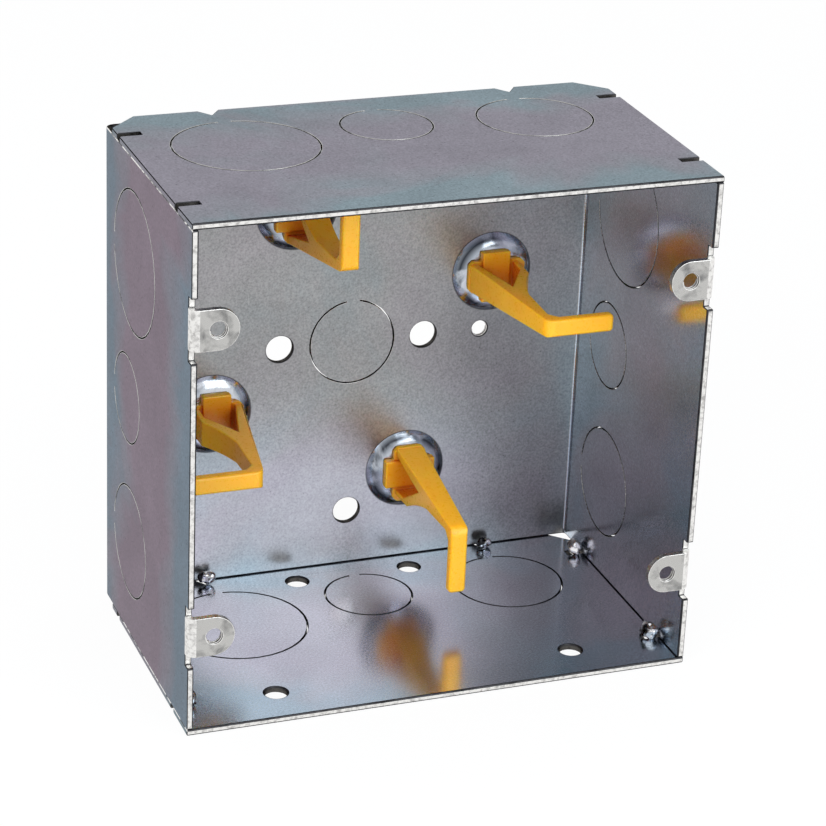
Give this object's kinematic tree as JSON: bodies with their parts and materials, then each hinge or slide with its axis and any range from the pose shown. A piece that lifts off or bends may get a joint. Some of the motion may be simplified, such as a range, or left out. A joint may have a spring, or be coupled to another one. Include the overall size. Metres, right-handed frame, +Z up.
{
  "type": "telecommunication box",
  "caption": "Square welded steel telecommunication box, open at the front, with knockouts, cover ears and snap-in plastic cable hooks.",
  "frame": {"origin": "centre of the bottom face of the box's bounding box", "axes": "+Z up, -Y out of the open front, +X to the right as seen from the front"},
  "size_m": [0.127, 0.073, 0.127],
  "materials": {
    "zinc_steel": "zinc-plated sheet with a faint iridescent film",
    "weld_steel": "bright weld metal",
    "hook_plastic": "moulded orange-yellow plastic"
  },
  "bodies": {
    "root": {"body_wrap": "zinc_steel", "top_plate": "zinc_steel", "bottom_plate": "zinc_steel", "top_welds": "weld_steel", "bottom_welds": "weld_steel", "hook_right": "hook_plastic", "hook_bottom": "hook_plastic", "hook_left": "hook_plastic", "hook_top": "hook_plastic"}
  },
  "joints": []
}
